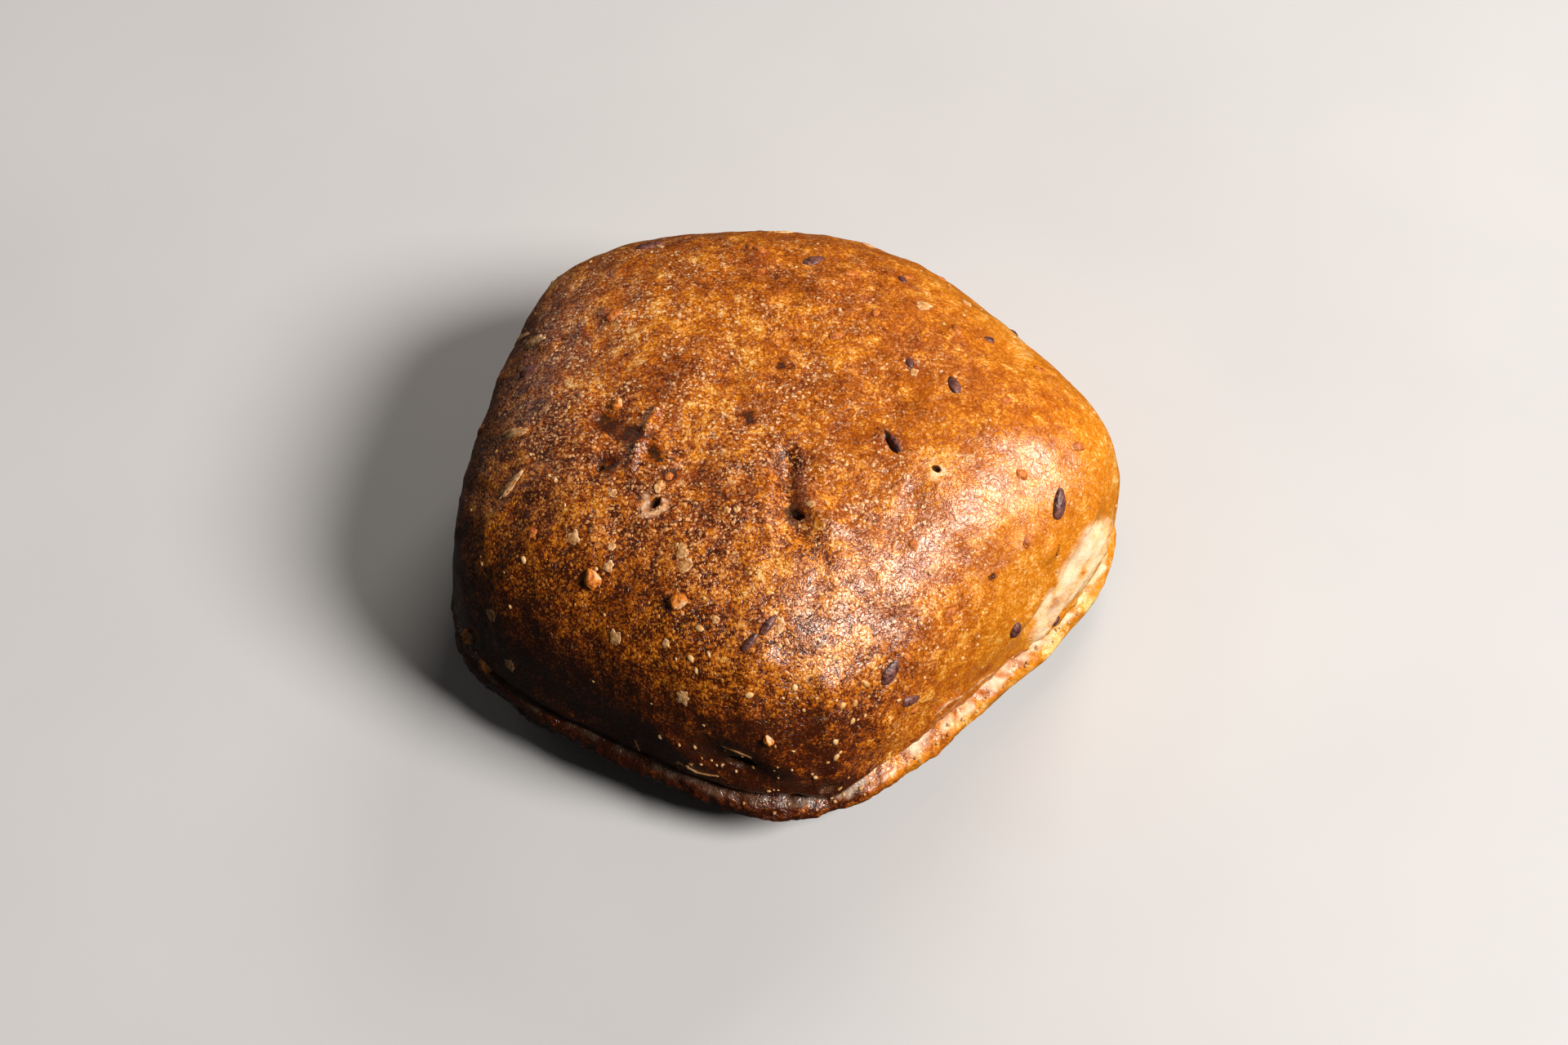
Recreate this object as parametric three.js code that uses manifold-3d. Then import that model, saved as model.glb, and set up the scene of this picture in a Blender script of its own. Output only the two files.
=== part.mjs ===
// A multigrain bread roll, baked in one piece. It is nearly square in plan, with steep sides,
// round shoulders and a gently domed top. A thin floury lip runs round the bottom of the wall with
// a crease above it, and below the lip the underside curves in to the flat base the roll rests on.
// Seeds stand in the crust all over. The shape is turned on a lathe as a round loaf, then each of
// its points is moved out to the five-sided plan outline.
import * as THREE from "three";
import { mergeVertices } from "three/addons/utils/BufferGeometryUtils.js";
import Module from "manifold-3d";

// Lengths are millimetres and angles degrees. A bearing goes round the roll from +X towards +Y.
// A climb goes up the crust, from 0 at the foot of the wall to 90 at the crown.
const ROLL_HEIGHT = 39.7;
const ROUND_RADIUS = 42;
const BASE_RADIUS = 29;
const WALL_FOOT = 10.5;
const DOME_POWER = 3;

// The lip is a rounded bead of dough that starts a little inside the wall.
const LIP_BOTTOM = 5;
const LIP_TOP = 9.4;
const LIP_INSET = 0.4;
const LIP_STANDS_OUT = 1;

// The crease above the lip is a narrow groove.
const CREASE_HEIGHT = 9.9;
const CREASE_DEPTH = 1;
const CREASE_REACH = 0.6;

// The lip climbs towards the left corner, which curled up in the oven, and drops opposite it.
const LIP_RISE = 2;
const LIP_HIGH_BEARING = 200;

// Lip and crease are fullest on the front right, where the foot tore, and fade out behind.
const LIP_FULL_BEARING = 315;
const LIP_FULLNESS = 0.7;

// The lip's edge is wavy: so many long and short waves go once round it.
const LIP_WAVE = 0.15;
const LONG_WAVES = 11;
const LONG_WAVE_START = 40;
const SHORT_WAVES = 23;

// The five sides of the plan: front left, front right, back right, back and back left. Each has
// the bearing it faces and its reach from the axis, at the foot of the wall and at the crown.
const SIDES = [
  { foot: [243.7, 41.2], crown: [236.5, 40] },
  { foot: [314.3, 36.9], crown: [308.5, 35.2] },
  { foot: [33.1, 42.4], crown: [45.4, 41.6] },
  { foot: [93.7, 42.8], crown: [93.1, 43.4] },
  { foot: [165.5, 42.8], crown: [167.2, 45.2] },
];
const FOOT_SQUARENESS = 5.4;
const CROWN_SQUARENESS = 5;

// Slow swells of the crust, spread by the golden angle.
const GOLDEN_ANGLE = 137.508;
const SWELLS = 22;
const SWELL_WIDTH = 8;
const SWELL_HEIGHT = 0.45;

// Seeds and flakes in the crust, each as its length, width and thickness.
const FLAX = [4.4, 2, 1.3];
const SHORT_FLAX = [3.2, 1.8, 1.3];
const NUB = [2.7, 2.2, 1.8];
const BUMP = [2.4, 1.8, 1.1];
const BURIED_GRAIN = [4.8, 2.6, 1.2];
const HUSK = [4.6, 1.6, 0.9];
const DISC = [2.1, 1.9, 0.8];
const SEED_LIFT = 0.15;
const SEED_SIDES = 6;
const SEED_RINGS = 4;
const SCATTERED_SEEDS = 20;
const SEED_CLEARANCE = 5;

// How finely the crust is divided. The rows of the dome stop a little short of the crown.
const BEARING_STEPS = 100;
const UNDERSIDE_ROWS = 4;
const LIP_ROWS = 4;
const DOME_ROWS = 20;
const DOME_ROW_SPREAD = 1.15;
const CROWN_GAP = 3;
const JOIN_WITHIN = 1e-4;

const toRadians = THREE.MathUtils.degToRad;
const mix = THREE.MathUtils.lerp;
const clamp = THREE.MathUtils.clamp;

// A repeatable number between two limits for each whole number.
function chance(number, low, high) {
  const wave = Math.sin(number * 12.9898) * 43758.5453;
  return mix(low, high, wave - Math.floor(wave));
}

// The reach of the plan outline at a bearing: five straight sides blended by a power mean.
function planReach(bearing, share) {
  const power = mix(FOOT_SQUARENESS, CROWN_SQUARENESS, share);
  let sum = 0;
  for (const side of SIDES) {
    const facing = mix(side.foot[0], side.crown[0], share);
    const reach = mix(side.foot[1], side.crown[1], share);
    const towards = Math.max(0, Math.cos(toRadians(bearing - facing)));
    sum += (towards / reach) ** power;
  }
  return sum ** (-1 / power);
}

// Moves a point of the round loaf to its place on the square one.
function squaredUp(bearing, radius, height) {
  const share = clamp((height - WALL_FOOT) / (ROLL_HEIGHT - WALL_FOOT), 0, 1);
  const reach = (radius / ROUND_RADIUS) * planReach(bearing, share);
  const rise = LIP_RISE * Math.cos(toRadians(bearing - LIP_HIGH_BEARING));
  const hold = Math.min(height / LIP_BOTTOM, 1) * (1 - share);
  const angle = toRadians(bearing);
  return new THREE.Vector3(
    reach * Math.cos(angle),
    reach * Math.sin(angle),
    height + rise * hold,
  );
}

// The section of the dome is a superellipse from the foot of the wall to the crown.
function domeSection(climb) {
  const out = Math.cos(toRadians(climb)) ** (2 / DOME_POWER);
  const up = Math.sin(toRadians(climb)) ** (2 / DOME_POWER);
  return new THREE.Vector2(ROUND_RADIUS * out, mix(WALL_FOOT, ROLL_HEIGHT, up));
}

function crustPoint([bearing, climb]) {
  const section = domeSection(climb);
  return squaredUp(bearing, section.x, section.y);
}

// Swellings and hollows of the crust: each is a soft ridge or groove between two places.
const swelling = (from, to, width, height) => ({ from, to, width, height });
const hollow = (from, to, width, depth) => swelling(from, to, width, -depth);
const namedRelief = [
  // The crater in the top, with a torn flap on its right.
  hollow([277, 83], [275, 74], 2.8, 1.2),
  swelling([284, 76], [287, 72], 2.2, 0.8),
  // Dimples in the front shoulder and on the top.
  hollow([290, 47], [291, 46], 2.6, 0.5),
  hollow([295, 39], [296, 38], 2.6, 0.5),
  hollow([320, 59], [322, 58], 3, 0.4),
  // The corner that faces the front is a blunt upright ridge.
  swelling([279, 1], [279, 30], 2.6, 1.1),
  // The stretched tear low on the right corner: two ridges with a groove between them.
  swelling([330, 9], [350, 24], 1.8, 0.5),
  hollow([331, 5], [350, 17], 1.8, 0.7),
  swelling([334, 1], [352, 8], 1.8, 0.6),
  // The crumbled stretch of the front left foot.
  hollow([257, 8], [266, 5], 2.6, 0.8),
  swelling([250, 6], [254, 5], 2.4, 0.5),
  swelling([269, 7], [273, 5], 2.4, 0.5),
];

function slowSwells() {
  const swells = [];
  for (let i = 0; i < SWELLS; i++) {
    const place = [GOLDEN_ANGLE * i, chance(i + 1, 12, 82)];
    const height = SWELL_HEIGHT * chance(i + 101, 0.5, 1);
    swells.push(swelling(place, place, SWELL_WIDTH, i % 2 ? height : -height));
  }
  return swells;
}

const relief = [...namedRelief, ...slowSwells()].map((one) => ({
  line: new THREE.Line3(crustPoint(one.from), crustPoint(one.to)),
  width: one.width,
  height: one.height,
}));
const nearest = new THREE.Vector3();

// The height of the relief at a point of the crust. It fades out from the lip's bottom down.
function reliefAt(point) {
  let sum = 0;
  for (const one of relief) {
    one.line.closestPointToPoint(point, true, nearest);
    sum += one.height * Math.exp(-nearest.distanceToSquared(point) / one.width ** 2);
  }
  return sum * clamp((point.z - LIP_BOTTOM) / (LIP_TOP - LIP_BOTTOM), 0, 1);
}

// The lathe's profile, from the middle of the base out to the lip and up over the dome.
function loafProfile() {
  const points = [new THREE.Vector2(0, 0)];
  const lipRoot = ROUND_RADIUS - LIP_INSET;
  for (let i = 0; i < UNDERSIDE_ROWS; i++) {
    const turn = (Math.PI / 2) * (i / UNDERSIDE_ROWS);
    const x = mix(BASE_RADIUS, lipRoot, Math.sin(turn));
    points.push(new THREE.Vector2(x, LIP_BOTTOM * (1 - Math.cos(turn))));
  }
  for (let i = 0; i <= LIP_ROWS; i++) {
    const turn = Math.PI * (i / LIP_ROWS - 0.5);
    const x = lipRoot + (LIP_INSET + LIP_STANDS_OUT) * Math.cos(turn);
    points.push(new THREE.Vector2(x, mix(LIP_BOTTOM, LIP_TOP, (1 + Math.sin(turn)) / 2)));
  }
  points.push(new THREE.Vector2(lipRoot, CREASE_HEIGHT));
  for (let i = 0; i < DOME_ROWS; i++) {
    const share = (i / (DOME_ROWS - 1)) ** DOME_ROW_SPREAD;
    points.push(domeSection(mix(0, 90 - CROWN_GAP, share)));
  }
  points.push(new THREE.Vector2(0, ROLL_HEIGHT));
  return points;
}

// How far the lip and the crease depart from the profile at a bearing, with short lumpy waves.
function lipGrowth(bearing, height) {
  const lipHalf = (LIP_TOP - LIP_BOTTOM) / 2;
  const onLip = Math.exp(-(((height - LIP_BOTTOM - lipHalf) / lipHalf) ** 2));
  const inCrease = Math.exp(-(((height - CREASE_HEIGHT) / CREASE_REACH) ** 2));
  const fullness = LIP_FULLNESS * Math.cos(toRadians(bearing - LIP_FULL_BEARING));
  const longWave = Math.sin(toRadians(LONG_WAVES * bearing + LONG_WAVE_START));
  const shortWave = Math.sin(toRadians(SHORT_WAVES * bearing));
  const lip = LIP_STANDS_OUT * fullness + LIP_WAVE * (longWave + shortWave);
  return onLip * lip - inCrease * CREASE_DEPTH * (1 + fullness);
}

// Only position is left, and points that share a place become one.
function closed(geometry) {
  geometry.deleteAttribute("normal");
  geometry.deleteAttribute("uv");
  return mergeVertices(geometry, JOIN_WITHIN);
}

// The lathe turns about Y, so it is stood up before its points move to the square plan and then
// out along the surface by the relief.
function loafGeometry() {
  const lathe = new THREE.LatheGeometry(loafProfile(), BEARING_STEPS);
  lathe.rotateX(Math.PI / 2);
  const geometry = closed(lathe);
  const places = geometry.getAttribute("position");
  const point = new THREE.Vector3();
  for (let i = 0; i < places.count; i++) {
    point.fromBufferAttribute(places, i);
    const bearing = THREE.MathUtils.radToDeg(Math.atan2(point.y, point.x));
    const radius = Math.hypot(point.x, point.y) + lipGrowth(bearing, point.z);
    const moved = squaredUp(bearing, radius, point.z);
    places.setXYZ(i, moved.x, moved.y, moved.z);
  }
  geometry.computeVertexNormals();
  const normals = geometry.getAttribute("normal");
  const out = new THREE.Vector3();
  for (let i = 0; i < places.count; i++) {
    point.fromBufferAttribute(places, i);
    out.fromBufferAttribute(normals, i);
    point.addScaledVector(out, reliefAt(point));
    places.setXYZ(i, point.x, point.y, point.z);
  }
  geometry.deleteAttribute("normal");
  return geometry;
}

// The frame of the crust at a place: the point on it, the way out, and the way up the slope.
function crustFrame([bearing, climb]) {
  const step = 0.5;
  const point = crustPoint([bearing, climb]);
  const around = crustPoint([bearing + step, climb]).sub(crustPoint([bearing - step, climb]));
  const above = crustPoint([bearing, Math.min(climb + step, 90)]);
  const below = crustPoint([bearing, Math.max(climb - step, 0)]);
  const upSlope = above.sub(below);
  const out = around.cross(upSlope).normalize();
  upSlope.normalize();
  point.addScaledVector(out, reliefAt(point));
  return { point, out, upSlope };
}

// An ellipsoid that lies along the crust. Its turn is measured from the way up the slope, and
// lift is the height of its middle over the crust.
function ellipsoid(place, turn, [length, width, thickness], lift) {
  const { point, out, upSlope } = crustFrame(place);
  const along = upSlope.applyAxisAngle(out, toRadians(turn));
  const across = along.clone().cross(out);
  const geometry = closed(new THREE.SphereGeometry(1, SEED_SIDES, SEED_RINGS));
  const matrix = new THREE.Matrix4().makeBasis(across, along, out);
  matrix.scale(new THREE.Vector3(width / 2, length / 2, thickness / 2));
  matrix.setPosition(point.addScaledVector(out, lift));
  return geometry.applyMatrix4(matrix);
}

const seed = (place, turn, size) => ellipsoid(place, turn, size, SEED_LIFT);
const pit = (place, turn, size) => ellipsoid(place, turn, size, 0);

const namedSeeds = [
  // Flax seeds, on the right corner, the top, the back left and the front right wall.
  seed([346, 37], -61, FLAX),
  seed([12, 71], -86, SHORT_FLAX),
  seed([163, 43], 23, SHORT_FLAX),
  seed([294, 24], -55, FLAX),
  seed([297, 11], -113, SHORT_FLAX),
  seed([326, 9], -18, NUB),
  // Two seeds end to end on the front left shoulder.
  seed([262, 46], -34, SHORT_FLAX),
  seed([266, 51], -34, SHORT_FLAX),
  // Seeds that show as bumps on the left outline, and two on the curled left corner.
  seed([161, 25], 40, BUMP),
  seed([173, 24], 10, BUMP),
  seed([205, 1], 0, NUB),
  seed([210, 0], 40, NUB),
  // A thin husk and two toasted nubs on the left shoulder, and a nub low on the front corner.
  seed([192, 43], 27, HUSK),
  seed([221, 44], 51, NUB),
  seed([243, 50], -56, NUB),
  seed([267, 17], 20, NUB),
  // Grains under the skin, on the front corner, the back left and the left of the top.
  seed([264, 40], -18, BURIED_GRAIN),
  seed([144, 62], 76, BURIED_GRAIN),
  seed([189, 75], 65, BURIED_GRAIN),
  // Toasted grains over the right corner and the back of the top.
  seed([347, 52], 0, BUMP),
  seed([358, 44], 20, BUMP),
  seed([336, 34], -54, BUMP),
  seed([6, 63], 30, BUMP),
  seed([26, 74], -12, BUMP),
  seed([33, 58], 60, BUMP),
  seed([61, 78], -40, BUMP),
  seed([70, 59], -42, BUMP),
  // Pale discs, on the left and by the dimples.
  seed([223, 49], 0, DISC),
  seed([209, 14], 0, DISC),
  seed([237, 62], 30, DISC),
  seed([250, 24], 0, DISC),
  seed([215, 4], 0, DISC),
  seed([313, 45], -100, DISC),
];

// Pits in the crust, each as its length, width and depth from end to end.
const pits = [
  // The dark hole at the lower end of the crater.
  pit([275, 76], 20, [3.4, 2, 3]),
  // The pale-rimmed hole, the slit and two pinholes of the top.
  pit([219, 68], 10, [2.4, 1.8, 2.4]),
  pit([341, 78], -44, [4, 1.3, 1.6]),
  pit([337, 67], 0, [1.8, 1.5, 1.8]),
  pit([198, 65], 0, [2, 1.6, 1.8]),
  // The cave in the crumbled stretch, and the gap behind the lip at the front corner.
  pit([262, 6], -91, [4.2, 2.4, 4]),
  pit([278, 1], -73, [3.4, 1.4, 2.6]),
];

function middleOf(geometry) {
  const box = new THREE.Box3().setFromBufferAttribute(geometry.getAttribute("position"));
  return box.getCenter(new THREE.Vector3());
}

// The rest of the seeds are spread over the back walls, clear of those above and of each other.
function scatteredSeeds() {
  const kinds = [FLAX, BUMP, DISC, HUSK];
  const middles = [...namedSeeds, ...pits].map(middleOf);
  const seeds = [];
  for (let i = 0; seeds.length < SCATTERED_SEEDS; i++) {
    const place = [chance(i + 201, 5, 185), chance(i + 301, 4, 60)];
    const middle = crustPoint(place);
    if (middles.some((other) => other.distanceTo(middle) < SEED_CLEARANCE)) {
      continue;
    }
    middles.push(middle);
    const scale = chance(i + 401, 0.75, 1.05);
    const size = kinds[i % kinds.length].map((length) => length * scale);
    seeds.push(seed(place, chance(i + 501, 0, 360), size));
  }
  return seeds;
}

const wasm = await Module();
wasm.setup();

function solidOf(geometry) {
  const mesh = new wasm.Mesh({
    numProp: 3,
    vertProperties: geometry.getAttribute("position").array,
    triVerts: new Uint32Array(geometry.index.array),
  });
  return new wasm.Manifold(mesh);
}

// The loaf with its pits cut and its seeds joined on, as one solid.
function bakedRoll() {
  let solid = solidOf(loafGeometry());
  for (const hole of pits) {
    solid = solid.subtract(solidOf(hole));
  }
  for (const grain of [...namedSeeds, ...scatteredSeeds()]) {
    solid = solid.add(solidOf(grain));
  }
  const mesh = solid.getMesh();
  const geometry = new THREE.BufferGeometry();
  geometry.setAttribute("position", new THREE.BufferAttribute(mesh.vertProperties, 3));
  geometry.setIndex(new THREE.BufferAttribute(mesh.triVerts, 1));
  geometry.computeVertexNormals();
  return geometry;
}

const group = new THREE.Group();
const crustMaterial = new THREE.MeshStandardMaterial({
  color: 0xb5682a,
  roughness: 0.5,
  metalness: 0,
});
const roll = new THREE.Mesh(bakedRoll(), crustMaterial);
roll.name = "roll";
group.add(roll);

// The origin is under the middle of the roll, at the height of its base.
const middle = new THREE.Box3().setFromObject(roll).getCenter(new THREE.Vector3());
roll.position.set(-middle.x, -middle.y, 0);

export default group;
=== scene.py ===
import math

import bmesh
import bpy
import numpy as np
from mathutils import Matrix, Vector, noise
from mathutils.bvhtree import BVHTree


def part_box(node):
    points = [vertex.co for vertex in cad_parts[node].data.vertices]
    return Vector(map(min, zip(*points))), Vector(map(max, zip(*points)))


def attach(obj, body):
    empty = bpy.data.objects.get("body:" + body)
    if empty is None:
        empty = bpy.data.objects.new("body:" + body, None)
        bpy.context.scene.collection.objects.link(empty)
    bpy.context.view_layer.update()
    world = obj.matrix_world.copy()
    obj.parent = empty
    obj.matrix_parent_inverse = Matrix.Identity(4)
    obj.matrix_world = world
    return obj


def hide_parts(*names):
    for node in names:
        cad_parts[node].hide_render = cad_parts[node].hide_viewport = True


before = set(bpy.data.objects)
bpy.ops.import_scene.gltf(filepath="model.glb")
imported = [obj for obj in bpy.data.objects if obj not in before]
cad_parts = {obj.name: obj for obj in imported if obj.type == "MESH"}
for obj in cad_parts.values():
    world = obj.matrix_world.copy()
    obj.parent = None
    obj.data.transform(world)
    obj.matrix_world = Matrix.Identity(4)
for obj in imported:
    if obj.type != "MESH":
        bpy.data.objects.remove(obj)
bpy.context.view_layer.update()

# ---- Crust ---------------------------------------------------------------------------------
# One skin of baked multigrain dough. Rolls are proved close together on the peel, so this one
# came out nearly square, with a lip where its foot spread and tore, and steam left it glossy.
ROLL_WIDTH = 93.57
AXIS_FROM_LEFT = 46.26
AXIS_FROM_FRONT = 44.22
low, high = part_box("roll")
MM = (high.x - low.x) / ROLL_WIDTH
LOAF_AXIS = np.array([low.x + AXIS_FROM_LEFT * MM, low.y + AXIS_FROM_FRONT * MM, low.z])

ROLL_HEIGHT = 39.7
ROUND_RADIUS = 42
BASE_RADIUS = 29
WALL_FOOT = 10.5
DOME_POWER = 3
LIP_BOTTOM = 5
LIP_TOP = 9.4
LIP_MIDDLE = (LIP_BOTTOM + LIP_TOP) / 2
LIP_HALF = (LIP_TOP - LIP_BOTTOM) / 2
LIP_INSET = 0.4
LIP_STANDS_OUT = 1
CREASE_HEIGHT = 9.9
CREASE_DEPTH = 1
CREASE_REACH = 0.6
LIP_RISE = 2
LIP_HIGH_BEARING = 200
LIP_FULL_BEARING = 315
LIP_FULLNESS = 0.7
LIP_WAVE = 0.15
GOLDEN_ANGLE = 137.508

# Front left, front right, back right, back and back left: the bearing that each side faces and
# its reach from the axis, at the foot of the wall and at the crown.
SIDES = [
    ((243.7, 41.2), (236.5, 40)),
    ((314.3, 36.9), (308.5, 35.2)),
    ((33.1, 42.4), (45.4, 41.6)),
    ((93.7, 42.8), (93.1, 43.4)),
    ((165.5, 42.8), (167.2, 45.2)),
]
FOOT_SQUARENESS = 5.4
CROWN_SQUARENESS = 5


def chance(number, lowest=0.0, highest=1.0):
    wave = math.sin(number * 12.9898) * 43758.5453
    return lowest + (highest - lowest) * (wave - math.floor(wave))


def between(a, b, share):
    return a + (b - a) * share


def facing(bearing, way):
    """1 where the loaf faces that way, 0 square to it and -1 on its far side."""
    return np.cos(np.radians(bearing - way))


def degrees_past(bearing, way):
    """How far round from that way a bearing lies, from -180 to 180 degrees."""
    return (bearing - way + 180) % 360 - 180


def plan_reach(bearing, share):
    power = between(FOOT_SQUARENESS, CROWN_SQUARENESS, share)
    total = 0
    for (foot_facing, foot_reach), (crown_facing, crown_reach) in SIDES:
        way = between(foot_facing, crown_facing, share)
        towards = np.maximum(0, facing(bearing, way))
        total = total + (towards / between(foot_reach, crown_reach, share)) ** power
    return total ** (-1 / power)


def squared_up(bearing, radius, height):
    """Moves points of a round loaf to their places on the square one, in millimetres."""
    share = np.clip((height - WALL_FOOT) / (ROLL_HEIGHT - WALL_FOOT), 0, 1)
    reach = radius / ROUND_RADIUS * plan_reach(bearing, share)
    rise = LIP_RISE * facing(bearing, LIP_HIGH_BEARING)
    hold = np.minimum(height / LIP_BOTTOM, 1) * (1 - share)
    angle = np.radians(bearing)
    return np.stack([reach * np.cos(angle), reach * np.sin(angle), height + rise * hold], -1)


def dome_section(climb):
    turn = np.radians(climb)
    out = np.abs(np.cos(turn)) ** (2 / DOME_POWER)
    up = np.abs(np.sin(turn)) ** (2 / DOME_POWER)
    return ROUND_RADIUS * out, between(WALL_FOOT, ROLL_HEIGHT, up)


def crust_point(place):
    bearing, climb = np.float64(place[0]), np.float64(place[1])
    return squared_up(bearing, *dome_section(climb))


def lip_growth(bearing, height):
    on_lip = np.exp(-(((height - LIP_MIDDLE) / LIP_HALF) ** 2))
    in_crease = np.exp(-(((height - CREASE_HEIGHT) / CREASE_REACH) ** 2))
    fullness = LIP_FULLNESS * facing(bearing, LIP_FULL_BEARING)
    waves = np.sin(np.radians(11 * bearing + 40)) + np.sin(np.radians(23 * bearing))
    lip = LIP_STANDS_OUT * fullness + LIP_WAVE * waves
    return on_lip * lip - in_crease * CREASE_DEPTH * (1 + fullness)


# Swellings and hollows, each a soft ridge or groove between two places given as bearing and
# climb: from, to, width and height. The crater, the dimples, the front corner's ridge, the
# tear on the right corner and the crumbled foot come first.
relief = [
    ((277, 83), (275, 74), 2.8, -1.2),
    ((284, 76), (287, 72), 2.2, 0.8),
    ((290, 47), (291, 46), 2.6, -0.5),
    ((295, 39), (296, 38), 2.6, -0.5),
    ((320, 59), (322, 58), 3, -0.4),
    ((279, 1), (279, 30), 2.6, 1.1),
    ((330, 9), (350, 24), 1.8, 0.5),
    ((331, 5), (350, 17), 1.8, -0.7),
    ((334, 1), (352, 8), 1.8, 0.6),
    ((257, 8), (266, 5), 2.6, -0.8),
    ((250, 6), (254, 5), 2.4, 0.5),
    ((269, 7), (273, 5), 2.4, 0.5),
]
SWELLS = 22
SWELL_WIDTH = 8
SWELL_HEIGHT = 0.45
for i in range(SWELLS):
    place = (GOLDEN_ANGLE * i, chance(i + 1, 12, 82))
    swell = SWELL_HEIGHT * chance(i + 101, 0.5, 1)
    relief.append((place, place, SWELL_WIDTH, swell if i % 2 else -swell))

# Finer: folds of the skin beside the crater, grains that push the skin up from below, dents,
# the edges of lifted skin, and lumps on the lip at the front corner.
relief += [
    ((271, 86), (271.5, 78.5), 1.3, -0.9),
    ((283, 81), (284, 76), 1.5, 0.45),
    ((179, 77), (196, 73), 0.6, 0.75),
    ((196, 73), (203, 70), 0.6, 0.7),
    ((181, 67), (184, 70), 1.2, -0.7),
    ((188, 72), (191, 75), 1.0, -0.7),
    ((198, 74), (203, 75), 0.9, -0.6),
    ((197, 66), (198, 67), 1.1, -0.6),
    ((213, 74), (213, 77), 0.9, -0.35),
    ((262, 81), (262, 75), 1.3, 0.35),
    ((266, 72), (262, 68), 1.2, 0.25),
    ((291, 70), (296, 66), 1.1, 0.25),
    ((144, 60), (144, 64), 1.3, 0.6),
    ((189, 73), (190, 77), 1.2, 0.6),
    ((156, 45), (156, 49), 1.2, 0.4),
    ((262, 38), (266, 42), 1.5, 0.45),
    ((132, 84), (140, 86), 1.2, -0.4),
    ((326, 66), (326, 66), 1.3, -0.35),
    ((296, 53), (296, 53), 0.9, -0.4),
    ((256, 66), (266, 64), 0.8, 0.2),
    ((198, 29), (196, 38), 0.8, 0.2),
    ((302, 2), (310, 2), 0.8, 0.5),
    ((275, 0), (285, 0), 1.2, 0.5),
    ((244, 74), (248, 75), 1, 0.2),
    ((338, 24), (339, 25), 1.1, 0.6),
    ((336, 0), (352, 4), 1.2, 0.6),
    ((97, 56), (98, 57), 1.3, 0.4),
    ((70, 58), (71, 60), 1.2, 0.4),
    ((33, 57), (33, 59), 1.2, 0.4),
]


def line_distance(points, start, end):
    """How far each point is from the straight line between two places on the crust."""
    a, b = crust_point(start), crust_point(end)
    along = b - a
    share = np.clip(((points - a) @ along) / max(along @ along, 1e-9), 0, 1)
    return np.linalg.norm(points - a - share[..., None] * along, axis=-1)


def marked(points, marks):
    """How much of each point lies in a group of marks, each a line between places and a reach."""
    share = np.zeros(len(points))
    for start, end, reach in marks:
        share = np.maximum(share, np.exp(-((line_distance(points, start, end) / reach) ** 2)))
    return share


def relief_at(points):
    total = np.zeros(points.shape[:-1])
    for start, end, width, height in relief:
        total += height * np.exp(-((line_distance(points, start, end) / width) ** 2))
    return total * np.clip((points[..., 2] - LIP_BOTTOM) / (LIP_TOP - LIP_BOTTOM), 0, 1)


def rough(points, size, salt):
    """Smooth noise from -1 to 1 whose lumps are about size millimetres across."""
    moved = (points / size + salt * 17.3).tolist()
    return np.array([noise.noise(p) for p in moved])


def blistered(points, size, salt):
    """Round bubbles side by side: 1 in the middle of each bubble and 0 between them."""
    moved = (points / size + salt * 9.7).tolist()
    return np.array([1 - noise.voronoi(p)[0][0] for p in moved])


def normals_of(points, faces):
    corners = points[faces]
    across = np.cross(corners[:, 2] - corners[:, 0], corners[:, 3] - corners[:, 1])
    summed = np.zeros_like(points)
    for i in range(4):
        np.add.at(summed, faces[:, i], across)
    return summed / np.maximum(np.linalg.norm(summed, axis=1), 1e-12)[:, None]


# The profile from the crown down to the edge of the base, as radius and height of the round
# loaf, with how closely the skin is divided there.
DOME_STEPS = 400
LIP_STEPS = 60
LIP_FINENESS = 1.5
TUCK_FINENESS = 0.2
climbs = np.linspace(90, 0, DOME_STEPS)
turns = np.linspace(np.pi / 2, -np.pi / 2, LIP_STEPS)
tucks = np.linspace(np.pi / 2, 0, LIP_STEPS)
lip_root = ROUND_RADIUS - LIP_INSET
dome_radius, dome_height = dome_section(climbs)
profile_radius = np.concatenate([
    dome_radius,
    [lip_root],
    lip_root + (LIP_INSET + LIP_STANDS_OUT) * np.cos(turns),
    between(BASE_RADIUS, lip_root, np.sin(tucks)),
])
profile_height = np.concatenate([
    dome_height,
    [CREASE_HEIGHT],
    LIP_MIDDLE + LIP_HALF * np.sin(turns),
    LIP_BOTTOM * (1 - np.cos(tucks)),
])
fineness = np.concatenate([
    np.ones(DOME_STEPS), np.full(LIP_STEPS + 1, LIP_FINENESS), np.full(LIP_STEPS, TUCK_FINENESS),
])
steps = np.hypot(np.diff(profile_radius), np.diff(profile_height))
bands = steps * (profile_radius[1:] + profile_radius[:-1]) / 2 * fineness[1:]
spread = np.sqrt(np.concatenate([[0], np.cumsum(bands)]) / bands.sum())

# A square net of quads laid over the loaf, its four corners eased round so that the net's edge
# follows the edge of the base. It is as fine as 200,000 triangles in all allow.
NET = 302
line = np.linspace(-1, 1, NET + 1)
u, v = np.meshgrid(line, line)
sideways = np.abs(u) > np.abs(v)
turn = np.where(
    sideways,
    np.pi / 4 * v / np.where(sideways, u, 1),
    np.pi / 2 - np.pi / 4 * u / np.where(sideways | (v == 0), 1, v),
)
signed = np.where(sideways, u, v)
net_bearing = np.degrees(np.arctan2(signed * np.sin(turn), signed * np.cos(turn))).ravel()
net_radius = np.interp(np.abs(signed).ravel(), spread, profile_radius)
net_height = np.interp(np.abs(signed).ravel(), spread, profile_height)
skin = squared_up(net_bearing, net_radius + lip_growth(net_bearing, net_height), net_height)
net = np.arange((NET + 1) ** 2).reshape(NET + 1, NET + 1)
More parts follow.
